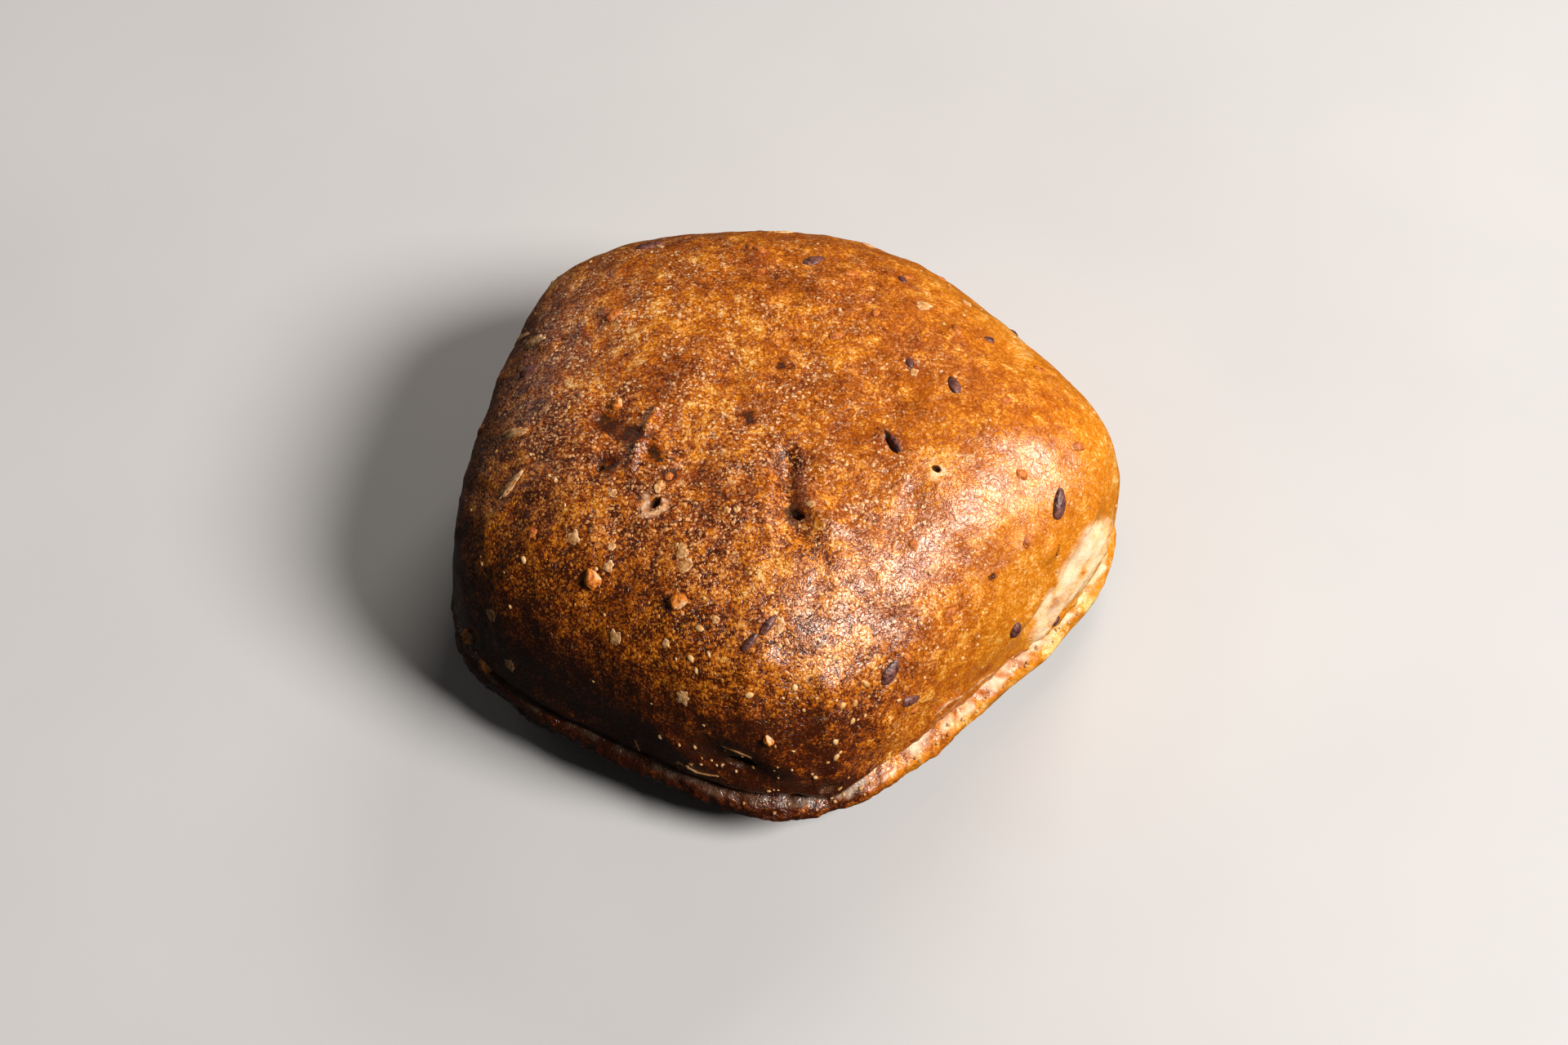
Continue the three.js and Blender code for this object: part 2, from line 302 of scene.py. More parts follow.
faces = np.stack([net[:-1, :-1], net[:-1, 1:], net[1:, 1:], net[1:, :-1]], -1).reshape(-1, 4)

# The base is closed with three rings inside the net's edge and a cap.
edge = np.concatenate([net[0, :-1], net[:-1, -1], net[-1, :0:-1], net[:0:-1, 0]])
RINGS = 3
ring = edge
for i in range(RINGS):
    shrunk = skin[edge] * (1 - (i + 1) / (RINGS + 1))
    inner = np.arange(len(edge)) + len(skin)
    skin = np.concatenate([skin, shrunk])
    joined = np.stack([ring, inner, np.roll(inner, -1), np.roll(ring, -1)], -1)
    faces = np.concatenate([faces, joined])
    ring = inner

# Relief, the skin's unevenness, its bubbles, which crowd in patches, the torn lip, whose lumps
# are drawn out along it, and the tears on the right corner, whose ridges follow the pull.
TEARS = [
    ((333, 7), (347, 18.5), 1.9), ((341, 9), (350, 13), 2.6), ((334, 2), (354, 8), 2.0),
    ((338, 0), (357, 2), 1.4),
]
pull = crust_point(TEARS[0][1]) - crust_point(TEARS[0][0])
pull /= np.linalg.norm(pull)
along_tear = (skin @ pull)[:, None] * pull
out = normals_of(skin, faces)
above_lip = np.clip((skin[:, 2] - LIP_TOP - 1) / 3, 0, 1)
angle = np.arctan2(skin[:, 1], skin[:, 0])
front = 0.5 + 0.5 * np.cos(angle - math.radians(LIP_FULL_BEARING))
lip_zone = np.exp(-((skin[:, 2] - 8.5) / 2.6) ** 2) * (skin[:, 2] > 1)
drawn_out = np.stack([np.cos(angle) * 9, np.sin(angle) * 9, skin[:, 2] / 1.4], -1)
shreds = np.stack([np.cos(angle) * 24, np.sin(angle) * 24, skin[:, 2] / 0.8], -1)
crowded = np.clip(0.6 + 1.2 * rough(skin, 11, 7), 0.1, 1.3)
grown = relief_at(skin)
grown += above_lip * 0.35 * rough(skin, 7.5, 8)
grown += above_lip * 0.24 * rough(skin, 4.0, 1)
sheltered = 0.75 - 0.25 * np.cos(angle - math.radians(340))
grown += above_lip * sheltered * 0.13 * rough(skin, 2.1, 2)
grown += above_lip * sheltered * crowded * 0.15 * (blistered(skin, 1.6, 3) - 0.5)
grown += marked(skin, TEARS) * 0.45 * rough((skin - along_tear) / 0.9 + along_tear / 3, 1, 12)
grown += lip_zone * (0.25 + 0.4 * front) * (rough(drawn_out, 1, 4) + 0.35 * rough(skin, 1.2, 5))
grown += lip_zone * (0.2 + 0.2 * front) * rough(shreds, 1, 14)
grown += lip_zone * 0.25 * rough(skin, 0.9, 15)
off_base = skin[:, 2] > 0.05
skin = skin + out * (grown * off_base)[:, None]


def dough_mesh(name, points, faces):
    """A named object from points in millimetres and faces, placed in the frame."""
    mesh = bpy.data.meshes.new(name)
    mesh.from_pydata((LOAF_AXIS + MM * points).tolist(), [], faces)
    mesh.shade_smooth()
    mesh.update()
    piece = bpy.data.objects.new(name, mesh)
    bpy.context.scene.collection.objects.link(piece)
    return piece


crust = dough_mesh("crust", skin, faces.tolist() + [ring[::-1].tolist()])


def crust_frame(place):
    """The point of the crust at a place, the way out of it, and the way up its slope."""
    bearing, climb = place
    point = crust_point(place)
    around = crust_point((bearing + 0.5, climb)) - crust_point((bearing - 0.5, climb))
    above = crust_point((bearing, min(climb + 0.5, 90)))
    up_slope = above - crust_point((bearing, max(climb - 0.5, 0)))
    out = np.cross(around, up_slope)
    out /= np.linalg.norm(out)
    up_slope /= np.linalg.norm(up_slope)
    return point + out * relief_at(point), out, up_slope


def laid(shape, place, turn, size, lift, settle=None):
    """A shape of unit size, scaled, turned from the way up the slope, and laid on the crust."""
    point, out, up_slope = crust_frame(place)
    if settle:
        point = settle(point, out)
    angle = math.radians(turn)
    side = np.cross(out, up_slope)
    along = up_slope * math.cos(angle) + side * math.sin(angle)
    across = np.cross(along, out)
    length, width, thickness = size
    return (
        point + out * lift
        + shape[:, :1] * across * width / 2
        + shape[:, 1:2] * along * length / 2
        + shape[:, 2:] * out * thickness / 2
    )


def ball(around, along, pointed=0.0):
    """A closed unit ball of quads, drawn out along Y and narrowed at one end when pointed."""
    rows = np.linspace(0, np.pi, along + 1)[1:-1]
    turns = np.linspace(0, 2 * np.pi, around, endpoint=False)
    y = np.repeat(-np.cos(rows), around)
    r = np.repeat(np.sin(rows) * (1 - pointed * -np.cos(rows)), around)
    points = np.stack([r * np.tile(np.cos(turns), along - 1), y,
                       r * np.tile(np.sin(turns), along - 1)], -1)
    points = np.concatenate([points, [[0, -1, 0], [0, 1, 0]]])
    faces = []
    for i in range(along - 2):
        for j in range(around):
            k = (j + 1) % around
            faces.append((i * around + j, (i + 1) * around + j,
                          (i + 1) * around + k, i * around + k))
    first, last = len(points) - 2, len(points) - 1
    for j in range(around):
        k = (j + 1) % around
        faces.append((first, j, k))
        faces.append((last, (along - 2) * around + k, (along - 2) * around + j))
    return points, faces


def joined(parts):
    """Many small meshes as one list of points and one of faces."""
    points, faces, count = [], [], 0
    for shape, shape_faces in parts:
        points.append(shape)
        faces += [[i + count for i in face] for face in shape_faces]
        count += len(shape)
    return np.concatenate(points), faces


# Pits: bubbles that burst in the oven, each cut out of the skin as a ragged ellipsoid, given as
# place, turn, and length, width and depth.
PITS = [
    ((275.5, 76), 52, (2.6, 1.4, 3.4)),
    ((219, 68), 10, (1.8, 1.3, 2.4)),
    ((341, 78), -44, (4.0, 1.1, 1.6)),
    ((337, 67), 0, (1.3, 1.0, 1.8)),
    ((198, 65), 0, (1.4, 1.1, 1.8)),
    ((262, 6), -91, (4.2, 2.4, 5.0)),
    ((278, 1), -73, (3.4, 1.4, 3.0)),
]
pit_shape, pit_faces = ball(28, 18)
ragged = pit_shape * (1 + 0.22 * rough(pit_shape, 0.6, 6))[:, None]
pit_parts = [(laid(ragged, place, turn, size, 0), pit_faces) for place, turn, size in PITS]
pit_cutter = dough_mesh("pit_cutter", *joined(pit_parts))
cut = crust.modifiers.new("pits", "BOOLEAN")
cut.operation = "DIFFERENCE"
cut.solver = "MANIFOLD"
cut.object = pit_cutter
bpy.context.view_layer.update()
carved = bpy.data.meshes.new_from_object(crust.evaluated_get(bpy.context.evaluated_depsgraph_get()))
crust.modifiers.clear()
crust.data = carved
bpy.data.objects.remove(pit_cutter)

# The cut leaves faces with many corners round the pits. They are split into triangles, and
# slivers thinner than a fiftieth of a millimetre are closed up.
SLIVER = 0.02
trimmed = bmesh.new()
trimmed.from_mesh(carved)
many_sided = [face for face in trimmed.faces if len(face.verts) > 4]
bmesh.ops.triangulate(trimmed, faces=many_sided, ngon_method="BEAUTY")
bmesh.ops.dissolve_degenerate(trimmed, edges=trimmed.edges, dist=SLIVER * MM)
trimmed.to_mesh(carved)
trimmed.free()

# What the crust is like at each point: floury on the top of the lip and in the tear, bare crumb
# inside the pits painted dark as their shade, darkest on the front left where bake and painted
# shade add up, and stained where a grain lies under it.
count = len(carved.vertices)
flat = np.empty(count * 3)
carved.vertices.foreach_get("co", flat)
spots = (flat.reshape(-1, 3) - LOAF_AXIS) / MM
bearing = np.degrees(np.arctan2(spots[:, 1], spots[:, 0])) % 360
over_lip = spots[:, 2] - LIP_MIDDLE - LIP_RISE * facing(bearing, LIP_HIGH_BEARING)
floured = 0.12 + 0.88 * np.clip(1.1 * facing(bearing, 320), 0, 1) ** 1.5
floured *= 1 - 0.88 * np.exp(-(((bearing - 266) / 19) ** 2))
broken = np.clip(0.5 + 2.2 * rough(spots, 2.2, 31), 0, 1)
wander = 0.4 * rough(spots, 3.3, 32) + 0.4 * rough(spots, 1.2, 36)
flour = floured * broken * np.exp(-((over_lip - 2.15 - wander) / 0.42) ** 2)
along_tear = (spots @ pull)[:, None] * pull
ridges = rough((spots - along_tear) / 0.9 + along_tear / 3, 1, 12)
edges = rough(spots, 3.2, 38) + 0.5 * rough(spots, 1.0, 39)
torn = marked(spots, TEARS) * np.clip((10 - degrees_past(bearing, 0)) / 20, 0, 1)
torn = np.clip(1.7 * torn - 0.3 + edges * np.clip(3 * torn, 0, 1), 0, 1)
flour = np.maximum(flour, torn * np.clip(0.8 + ridges + 0.5 * rough(spots, 1.5, 33), 0.2, 1))

# Two of the pits have a crumbly pale rim.
rims = np.zeros(count)
for place, reach in [((219.5, 67.5), 1.2), ((337, 67), 0.8)]:
    away = np.linalg.norm(spots - crust_point(place), axis=1)
    rims = np.maximum(rims, np.exp(-(((away - reach - 0.9 * rough(spots, 1.1, 35)) / 0.5) ** 2)))
flour = np.maximum(flour, rims * np.clip(0.35 + 1.4 * rough(spots, 0.9, 34), 0, 0.75))
crumb = np.zeros(count)
for place, turn, size in PITS:
    point, way_out, up_slope = crust_frame(place)
    away = np.linalg.norm(spots - point, axis=1) / (max(size) / 2)
    depth = (point - spots) @ way_out
    crumb = np.maximum(crumb, np.clip((1.25 - away) / 0.25, 0, 1) * np.clip(depth / 0.5, 0, 1))
off_crown = np.clip(np.hypot(spots[:, 0], spots[:, 1]) / 32, 0, 1)
lowness = np.clip((30 - spots[:, 2]) / 18, 0, 1)
FRONT_CORNER = 282
# Painted shade: this darkness holds both the bake and shade painted on the front left and its low
# walls, the side turned from the key window; it runs lighter towards the back right.
front_left_shade = facing(bearing, 217)
front_right = np.clip(facing(bearing, 338), 0, 1)
past_corner = 1 / (1 + np.exp(-degrees_past(bearing, FRONT_CORNER) / 3))
low_left_shade = lowness * np.clip(1.3 * facing(bearing, 240), 0, 1) * (1 - past_corner)
low_right = lowness * np.clip(facing(bearing, 310), 0, 1) * past_corner
on_walls = np.clip((38 - spots[:, 2]) / 12, 0.15, 1)
bake_and_shade = 0.39 + 0.34 * front_left_shade * off_crown * on_walls + 0.54 * low_left_shade - 0.12 * low_right
bake_and_shade += 0.18 * np.clip(facing(bearing, 245), 0, 1) * off_crown
bake_and_shade -= 0.45 * rims
# Painted shade in the crease above the lip, fainter where the crease faces the key window.
crease_shade = np.exp(-((over_lip - CREASE_HEIGHT + LIP_MIDDLE - 0.4) / 0.9) ** 2)
bake_and_shade += crease_shade * between(0.4, 0.15, front_right) - 0.15 * front_right * off_crown - 0.3 * torn
bake_and_shade += 0.4 * marked(spots, [((272, 86), (272.5, 78.5), 1.5)])
bake_and_shade += 0.2 * marked(spots, [((283, 64), (276, 70), 1.6)])
lip_face = np.clip((2.4 - over_lip) / 0.8, 0, 1) * np.clip(facing(bearing, 318), 0, 1)
bake_and_shade -= lip_face * np.clip(0.1 + 0.6 * rough(spots, 2.6, 37), -0.2, 0.45)
upper = np.clip((spots[:, 2] - 16) / 14, 0.3, 1)
bubbly = upper * np.clip(0.75 + 0.45 * facing(bearing, 215) * off_crown, 0.2, 1.1)
bubbly *= np.clip(1 - flour, 0, 1)

# Spots that were toasted red, over a grain under the skin or in a hollow, and blackened ones, most in
# hollows, pits and beside bumps, partly char and partly painted shade.
REDDENED = [
    ((144, 60), (144, 64), 1.2), ((179, 77), (196, 73), 0.8), ((196, 73), (203, 70), 0.7),
    ((216, 75), (219, 77), 0.9), ((353, 66), (353, 66), 0.8), ((356, 51), (356, 51), 0.9),
    ((57, 51), (52, 52), 1.0), ((61, 66), (61, 66), 1.0), ((29, 50), (29, 50), 1.1),
    ((33, 69), (33, 69), 0.9), ((26, 74), (22, 74), 0.9), ((98, 64), (97, 56), 1.2),
    ((60, 84), (60, 84), 1.0), ((315, 3), (318, 3), 0.9), ((292, 8), (292, 8), 0.8),
    ((312, 29), (312, 29), 0.9), ((205, 43), (205, 43), 1.0), ((290, 47), (291, 46), 0.9),
    ((295, 39), (296, 38), 0.9), ((325, 0), (328, 0), 1.0), ((336, 4), (338, 5), 0.9),
    ((281, 83), (282, 77), 1.3), ((236, 68), (232, 70), 0.7), ((178, 80), (189, 80), 0.8),
    ((313, 45), (313, 45), 1.2), ((341, 76), (338, 79), 0.9), ((54, 68), (54, 68), 1.0),
]
BLACKENED = [
    ((181, 67), (184, 69), 1.4), ((188, 72), (190, 74), 1.3), ((199, 75), (203, 75), 0.9),
    ((197, 66), (198, 67), 1.2), ((213, 74), (213, 75), 0.9), ((312, 54), (312, 54), 0.7),
    ((94, 86), (94, 86), 0.8), ((325, 31), (325, 31), 0.7), ((296, 53), (296, 53), 0.6),
    ((190, 88), (200, 88), 0.8), ((254, 8), (270, 6), 1.6), ((275, 79), (275, 77), 0.9),
    ((278, 1), (281, 1), 1.0), ((340.5, 25.5), (339.5, 22.5), 0.45),
]


for name, values in [
    ("flour", flour), ("crumb", crumb), ("bake_and_shade", bake_and_shade), ("bubbly", bubbly),
    ("toasted", marked(spots, REDDENED)), ("char_and_shade", marked(spots, BLACKENED)),
]:
    carved.attributes.new(name, "FLOAT", "POINT").data.foreach_set("value", values)


def knead(tree, kind, inputs=None, output=0, **settings):
    """Adds a shader node, fills its inputs with values or other nodes' outputs, gives an output."""
    node = tree.nodes.new("ShaderNode" + kind)
    for name, value in settings.items():
        setattr(node, name, value)
    for name, value in (inputs or {}).items():
        if isinstance(value, bpy.types.NodeSocket):
            tree.links.new(value, node.inputs[name])
        else:
            node.inputs[name].default_value = value
    return node.outputs[output]


def sum_up(tree, kind, a, b):
    return knead(tree, "Math", {0: a, 1: b}, operation=kind)


def coloured(tree, share, a, b):
    return knead(tree, "Mix", {0: share, 6: a, 7: b}, 2, data_type="RGBA")


def ramped(tree, value, lowest, highest, start=0.0, end=1.0):
    inputs = {0: value, 1: lowest, 2: highest, 3: start, 4: end}
    return knead(tree, "MapRange", inputs)


def swayed(tree, place, size, reach):
    """The place moved about by noise, so that what is laid out from it loses its evenness."""
    sway = knead(tree, "TexNoise", {"Vector": place, "Scale": 1 / size, "Detail": 2.0}, 1)
    sway = knead(tree, "VectorMath", {0: sway, 1: (0.5, 0.5, 0.5)}, operation="SUBTRACT")
    sway = knead(tree, "VectorMath", {0: sway, 3: reach}, operation="SCALE")
    return knead(tree, "VectorMath", {0: place, 1: sway}, operation="ADD")


def finish_of(name):
    """A new material with its shader, its tree and the place on the object in millimetres."""
    material = bpy.data.materials.new(name)
    material.use_nodes = True
    tree = material.node_tree
    shader = tree.nodes["Principled BSDF"]
    place = knead(tree, "TexCoord", output=3)
    place = knead(tree, "VectorMath", {0: place, 3: 1 / MM}, operation="SCALE")
    return material, tree, shader, place


def bumped(tree, shader, height):
    """Gives the shader its fine relief from a height in millimetres."""
    bump = knead(tree, "Bump", {"Height": height, "Strength": 1.0, "Distance": MM})
    tree.links.new(bump, shader.inputs["Normal"])
    tree.links.new(bump, shader.inputs["Coat Normal"])


crust_finish, tree, shader, place = finish_of("glossy baked crust")
attribute = {
    name: knead(tree, "Attribute", output=2, attribute_name=name)
    for name in ("flour", "crumb", "bake_and_shade", "bubbly", "toasted", "char_and_shade")
}


def domes(tree, place, apart):
    """Round blisters about that many millimetres apart, each with a size and height of its own."""
    inputs = {"Vector": place, "Scale": 1 / apart}
    reach = knead(tree, "TexVoronoi", inputs)
    own_size = ramped(tree, knead(tree, "TexVoronoi", inputs, 1), 0.3, 0.75)
    fall = sum_up(tree, "POWER", sum_up(tree, "MULTIPLY", reach, 2.3), 2.0)
    return knead(tree, "Math", {0: own_size, 1: fall}, operation="SUBTRACT", use_clamp=True)


def creased(tree, place, apart, width):
    """Thin creases that wander over the skin: 0 in a crease and 1 on the skin between them."""
    lie = knead(tree, "TexNoise", {"Vector": place, "Scale": 1 / apart, "Detail": 1.5,
                                   "Distortion": 0.9})
    away = knead(tree, "Math", {0: sum_up(tree, "SUBTRACT", lie, 0.5)}, operation="ABSOLUTE")
    return ramped(tree, away, 0, width)


def shaded(tree, value, stops):
    """A colour for a value, from the lowest of the stops to the highest."""
    node = tree.nodes.new("ShaderNodeValToRGB")
    tree.links.new(value, node.inputs[0])
    for i, (at, colour) in enumerate(stops):
        stop = node.color_ramp.elements[i] if i < 2 else node.color_ramp.elements.new(at)
        stop.position = at
        stop.color = colour
    return node.outputs[0]


loose = swayed(tree, place, 0.9, 0.55)
patches = knead(tree, "TexNoise", {"Vector": place, "Scale": 0.11, "Detail": 3.0})
blotches = knead(tree, "TexNoise", {"Vector": place, "Scale": 0.42, "Detail": 4.0})
crowds = knead(tree, "TexNoise", {"Vector": place, "Scale": 0.2, "Detail": 3.0})
mottle = knead(tree, "TexNoise", {"Vector": place, "Scale": 1.3, "Detail": 2.0})
folds = knead(tree, "TexNoise", {"Vector": loose, "Scale": 0.55, "Detail": 1.0, "Distortion": 0.8})

# Creases where the dried skin wrinkled, and blisters of the glaze. The blisters crowd in some
# patches and keep away from others.
creases = creased(tree, loose, 1.5, 0.05)
fine_creases = creased(tree, loose, 0.7, 0.07)
crowding = sum_up(tree, "MULTIPLY", attribute["bubbly"], ramped(tree, crowds, 0.38, 0.6, 0.35, 1))
blisters = sum_up(tree, "MULTIPLY", domes(tree, loose, 0.7), crowding)
fine_blisters = sum_up(tree, "MULTIPLY", domes(tree, loose, 0.4), crowding)

# The glaze itself dried to grains as fine as sand, with seams where its film shrank.
sand = knead(tree, "TexNoise", {"Vector": loose, "Scale": 2.6, "Detail": 1.0})
film = knead(tree, "TexVoronoi", {"Vector": loose, "Scale": 1.7}, feature="DISTANCE_TO_EDGE")
seams = ramped(tree, film, 0, 0.2)
flecks = knead(tree, "TexNoise", {"Vector": loose, "Scale": 1.2, "Detail": 3.0})

# The crust's colour runs from dark red brown through amber to pale gold. The dark end falls in its
# valleys and on its front left, partly its own colour and partly painted shade.
CRUST_COLOURS = [
    (0.0, (0.06, 0.009, 0.001, 1)),
    (1.0, (0.95, 0.64, 0.23, 1)),
    (0.22, (0.18, 0.029, 0.001, 1)),
    (0.48, (0.45, 0.103, 0.003, 1)),
    (0.74, (0.77, 0.262, 0.010, 1)),
]
# Pale specks on the glaze, partly its pale blister tops and partly painted glints: cream on the lit
# side, deeper gold on the shaded side.
SHADED_SPECK_GOLD = (0.84, 0.29, 0.02, 1)
LIT_SPECK_CREAM = (0.97, 0.64, 0.34, 1)
FLOUR = (0.96, 0.72, 0.49, 1)
# Dark for char and for the painted shade in the hollows and pits where the blackened marks lie.
CHAR_AND_SHADE = (0.045, 0.013, 0.006, 1)
TOASTED = (0.30, 0.048, 0.007, 1)
# Bare crumb painted dark brown as the shade inside the pits.
SHADED_CRUMB = (0.10, 0.035, 0.012, 1)


def weighed(tree, value, middle, weight):
    """How far a value is from its middle, times its weight."""
    return sum_up(tree, "MULTIPLY", sum_up(tree, "SUBTRACT", value, middle), weight)


# The finer marks follow the relief, darker in creases, seams and valleys and lighter on folds,
# partly the crust's own colour and partly painted shade. They stand out more where the crust is
# darker, partly as painted shading on the side the key window only grazes.
tone = weighed(tree, folds, 0.5, 0.65)
for value, middle, weight in [
    (mottle, 0.5, 0.4), (creases, 0.8, 0.22), (fine_creases, 0.7, 0.16), (seams, 0.8, 0.18),
    (sand, 0.5, 0.45), (patches, 0.5, 0.8), (blotches, 0.5, 0.8),
]:
    tone = sum_up(tree, "ADD", tone, weighed(tree, value, middle, weight))
tone = sum_up(tree, "MULTIPLY", tone, ramped(tree, attribute["bake_and_shade"], 0.15, 0.5, 0.7, 1.45))
valley = sum_up(tree, "MULTIPLY", tone, ramped(tree, attribute["bake_and_shade"], 0.38, 0.65, 0.5, 0.95))
tone = sum_up(tree, "MAXIMUM", tone, valley)
tone = sum_up(tree, "ADD", tone, weighed(tree, attribute["bake_and_shade"], 0.5, -0.65))
colour = shaded(tree, sum_up(tree, "ADD", tone, 0.37), CRUST_COLOURS)
# Toasted stains, and blackened marks that are partly char and partly painted shade.
for name, stain, most in [("toasted", TOASTED, 0.65), ("char_and_shade", CHAR_AND_SHADE, 0.92)]:
    share = sum_up(tree, "ADD", attribute[name], weighed(tree, mottle, 0.5, 1.3))
    share = sum_up(tree, "ADD", share, weighed(tree, sand, 0.5, 0.8))
    share = sum_up(tree, "MULTIPLY", ramped(tree, share, 0.36, 0.62, 0, most),
                   ramped(tree, attribute[name], 0.05, 0.25))
    colour = coloured(tree, share, colour, stain)
# Painted glints: blister tops, sand grains and flecks are painted pale gold to cream, partly the
# glaze's own pale blisters and partly glints of light, cream where the crust is lighter and gold where
# it is painted darker, on the shaded side.
pale_tops_and_glints = sum_up(tree, "MAXIMUM", ramped(tree, blisters, 0.15, 0.45, 0, 0.9),
                ramped(tree, fine_blisters, 0.15, 0.45, 0, 0.8))
grains = sum_up(tree, "MULTIPLY", ramped(tree, sand, 0.58, 0.7, 0, 0.45), crowding)
pale_tops_and_glints = sum_up(tree, "MAXIMUM", pale_tops_and_glints, grains)
patched = sum_up(tree, "MULTIPLY", ramped(tree, flecks, 0.62, 0.68, 0, 0.65), crowding)
pale_tops_and_glints = sum_up(tree, "MAXIMUM", pale_tops_and_glints, patched)
pale_tops_and_glints = sum_up(tree, "MULTIPLY", pale_tops_and_glints, ramped(tree, attribute["char_and_shade"], 0, 0.4, 1, 0))
pale_tops_and_glints = sum_up(tree, "MULTIPLY", pale_tops_and_glints, ramped(tree, attribute["bake_and_shade"], 0.6, 0.95, 1, 0.35))
glint_colour = coloured(tree, ramped(tree, attribute["bake_and_shade"], 0.42, 0.64), LIT_SPECK_CREAM, SHADED_SPECK_GOLD)
colour = coloured(tree, pale_tops_and_glints, colour, glint_colour)
floury = sum_up(tree, "MULTIPLY", attribute["flour"], ramped(tree, mottle, 0.34, 0.52, 0.65, 1))
colour = coloured(tree, floury, colour, FLOUR)
# Painted shade: the insides of the pits are painted dark crumb.
colour = coloured(tree, attribute["crumb"], colour, SHADED_CRUMB)
tree.links.new(colour, shader.inputs["Base Color"])
dull = ramped(tree, floury, 0, 1, 0.32, 0.75)
dull = sum_up(tree, "ADD", dull, weighed(tree, mottle, 0.5, 0.2))
tree.links.new(dull, shader.inputs["Roughness"])

# The glaze coats the skin but runs thin in its creases and over char and flour.
glaze = sum_up(tree, "MULTIPLY", ramped(tree, creases, 0, 1, 0.35, 0.78),
               ramped(tree, seams, 0, 1, 0.5, 1))
glaze = sum_up(tree, "MULTIPLY", glaze, ramped(tree, attribute["bake_and_shade"], 0.22, 0.42, 0.55, 1))
glaze = sum_up(tree, "MULTIPLY", glaze, ramped(tree, attribute["char_and_shade"], 0, 0.6, 1, 0.2))
glaze = sum_up(tree, "MULTIPLY", glaze, ramped(tree, floury, 0, 0.8, 1, 0.1))
tree.links.new(glaze, shader.inputs["Coat Weight"])
height = sum_up(tree, "MULTIPLY", blisters, 0.055)
for value, tall in [
    (fine_blisters, 0.028), (folds, 0.13), (creases, 0.035), (fine_creases, 0.02),
    (seams, 0.018), (sand, 0.02),
]:
    height = sum_up(tree, "ADD", height, sum_up(tree, "MULTIPLY", value, tall))
height = sum_up(tree, "MULTIPLY", height, ramped(tree, attribute["bake_and_shade"], 0.2, 0.5, 0.55, 1.1))
bumped(tree, shader, height)
shader.inputs["Specular IOR Level"].default_value = 0.45
shader.inputs["Specular Tint"].default_value = (1, 0.9, 0.78, 1)
shader.inputs["Coat IOR"].default_value = 1.65
shader.inputs["Coat Roughness"].default_value = 0.3
carved.materials.clear()
carved.materials.append(crust_finish)
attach(crust, "root")
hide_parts("roll")

# ---- Flax seeds ----------------------------------------------------------------------------
# Brown flax seeds mixed into the dough. Those in the skin baked dark and stayed glossy, half
# sunk, each a flat drop that is pointed at one end.
skin_tree = BVHTree.FromPolygons(spots.tolist(), [list(p.vertices) for p in carved.polygons])


def settled(point, way_out):
    """Where the skin lies under a point, looking down against the way out of the crust."""
    hit = skin_tree.ray_cast(Vector(point + 4 * way_out), Vector(-way_out), 8)[0]
    return point if hit is None else np.array(hit)


def baked_in(name, parts, finish):
    """One piece of many small parts that are baked into the crust and ride with it."""
    piece = dough_mesh(name, *joined(parts))
    piece.data.materials.append(finish)
    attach(piece, "root")
    return piece


def speckled(name, specks, colours, roughness, wrinkles=None):
    """A finish in fine specks between two colours and two roughnesses. Specks are given as scale
    and detail, and wrinkles, where there are any, as scale, detail and height in millimetres."""
    finish, tree, shader, place = finish_of(name)
    scale, detail = specks
    speck = knead(tree, "TexNoise", {"Vector": place, "Scale": scale, "Detail": detail})
    colour = coloured(tree, ramped(tree, speck, 0.35, 0.65), *colours)
    tree.links.new(colour, shader.inputs["Base Color"])
    tree.links.new(ramped(tree, speck, 0.3, 0.7, *roughness), shader.inputs["Roughness"])
    if wrinkles:
        scale, detail, height = wrinkles
        wrinkle = knead(tree, "TexNoise", {"Vector": place, "Scale": scale, "Detail": detail})
        bumped(tree, shader, sum_up(tree, "MULTIPLY", wrinkle, height))
    return finish


FLAX = (4.3, 2.1, 1.3)
BROAD_FLAX = (3.9, 2.3, 1.3)
SHORT_FLAX = (3.2, 1.7, 1.2)
ROUND_FLAX = (2.6, 1.9, 1.4)
SLIM_FLAX = (3.3, 1.2, 1.1)
FLAX_CHIP = (1.7, 1.2, 0.9)
flax_places = [
    ((346, 37), -61, FLAX),
    ((12, 71), -86, SHORT_FLAX),
    ((163, 43), 23, SHORT_FLAX),
    ((293, 25), -55, BROAD_FLAX),
    ((296.5, 12), -113, SHORT_FLAX),
    ((326, 9), -18, ROUND_FLAX),
    ((262, 46), -34, SLIM_FLAX),
    ((266, 51), -34, SLIM_FLAX),
    ((341, 77), -44, (3.2, 0.9, 0.9)),
    ((337.5, 1), -60, FLAX_CHIP),
    ((57, 51), 60, FLAX_CHIP),
    ((29, 50), -30, FLAX_CHIP),
    ((26, 74), 78, FLAX_CHIP),
]

# Round the back and the right rear lie 20 more seeds and flakes of four kinds, scattered clear
# of each other and of eight others there.
SCATTERED = 20
CLEARANCE = 5
taken = [crust_point(place) for place in [
    (12, 71), (163, 43), (161, 25), (173, 24), (144, 62), (6, 63), (33, 58), (70, 59),
]]
scattered = []
draw = 0
while len(scattered) < SCATTERED:
    place = (chance(draw + 201, 5, 185), chance(draw + 301, 4, 60))
    if min(np.linalg.norm(crust_point(place) - other) for other in taken) >= CLEARANCE:
        taken.append(crust_point(place))
        scattered.append((draw % 4, place, chance(draw + 501, 0, 360), chance(draw + 401, 0.75, 1.05)))
    draw += 1


